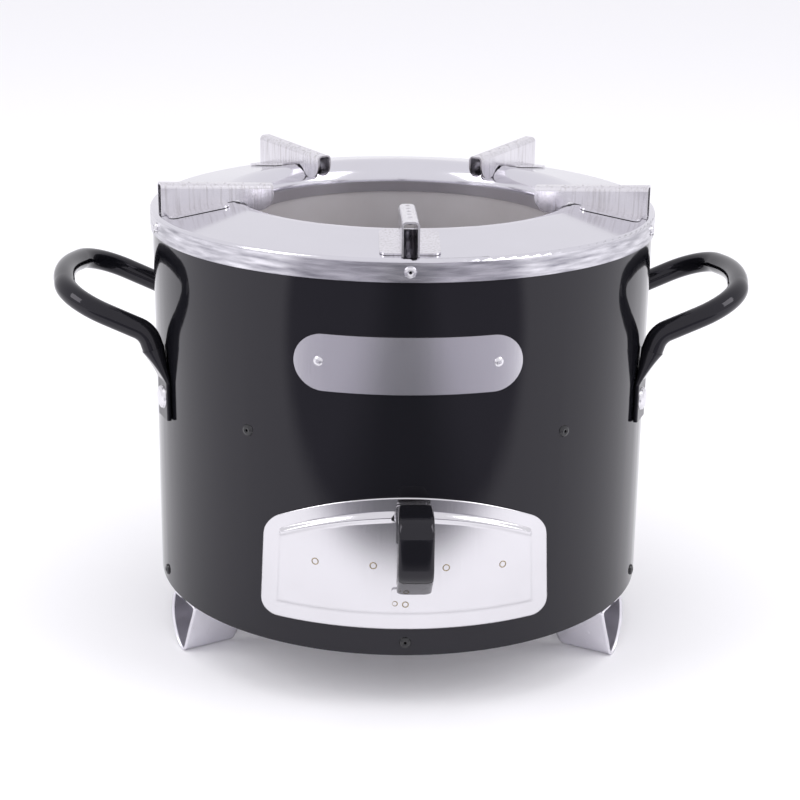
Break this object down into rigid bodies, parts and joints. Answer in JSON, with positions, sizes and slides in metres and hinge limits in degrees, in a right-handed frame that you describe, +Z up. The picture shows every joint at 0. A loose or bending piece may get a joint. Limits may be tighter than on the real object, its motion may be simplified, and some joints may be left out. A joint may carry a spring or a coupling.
{
  "type": "wood cook stove",
  "caption": "Round portable wood cook stove with an insulated fire chamber, pot supports, two side handles, strip feet and a pull-out ash drawer.",
  "frame": {"origin": "on the floor, under the stove's vertical axis", "axes": "+Z up, -Y towards the drawer, +X to the right of someone facing the drawer"},
  "size_m": [0.3946, 0.313, 0.2671],
  "materials": {
    "black_enamel": "gloss black enamel",
    "stainless": "brushed stainless",
    "chamber_steel": "satin stainless",
    "plated_sheet": "plated sheet",
    "cast_iron": "as cast",
    "mineral_fibre": "matt fibre",
    "rivet_aluminium": "bright",
    "black_rivet": "gloss black",
    "black_sleeve": "gloss black"
  },
  "bodies": {
    "stove": {"base_pan": "black_enamel", "bottom_rivet_1": "black_rivet", "bottom_rivet_2": "black_rivet", "bottom_rivet_3": "black_rivet", "bottom_rivet_4": "black_rivet", "bottom_rivet_5": "black_rivet", "divider_plate": "plated_sheet", "divider_rivet_1": "black_rivet", "divider_rivet_2": "black_rivet", "divider_rivet_3": "black_rivet", "fire_chamber": "chamber_steel", "foot_1": "stainless", "foot_2": "stainless", "foot_3": "stainless", "foot_rivet_a_1": "rivet_aluminium", "foot_rivet_a_2": "rivet_aluminium", "foot_rivet_a_3": "rivet_aluminium", "foot_rivet_b_1": "rivet_aluminium", "foot_rivet_b_2": "rivet_aluminium", "foot_rivet_b_3": "rivet_aluminium", "grate": "cast_iron", "handle_rivet_1": "rivet_aluminium", "handle_rivet_2": "rivet_aluminium", "handle_rivet_3": "rivet_aluminium", "handle_rivet_4": "rivet_aluminium", "insulation": "mineral_fibre", "name_plate": "stainless", "outer_shell": "black_enamel", "plate_stud_1": "rivet_aluminium", "plate_stud_2": "rivet_aluminium", "pot_support_1": "stainless", "pot_support_2": "stainless", "pot_support_3": "stainless", "pot_support_4": "stainless", "pot_support_5": "stainless", "rim_rivet_1": "rivet_aluminium", "rim_rivet_2": "rivet_aluminium", "rim_rivet_3": "rivet_aluminium", "rim_rivet_4": "rivet_aluminium", "rim_rivet_5": "rivet_aluminium", "runner_left": "plated_sheet", "runner_right": "plated_sheet", "side_handle_left": "black_enamel", "side_handle_right": "black_enamel", "top_plate": "stainless"},
    "ash_drawer": {"drawer_front": "stainless", "ash_tray": "plated_sheet", "pull_strap": "stainless", "pull_sleeve": "black_sleeve"}
  },
  "joints": [
    {"name": "drawer_slide", "type": "slide", "parent": "stove", "child": "ash_drawer", "axis": [0, -1, 0], "range_m": [0, 0.15]}
  ]
}
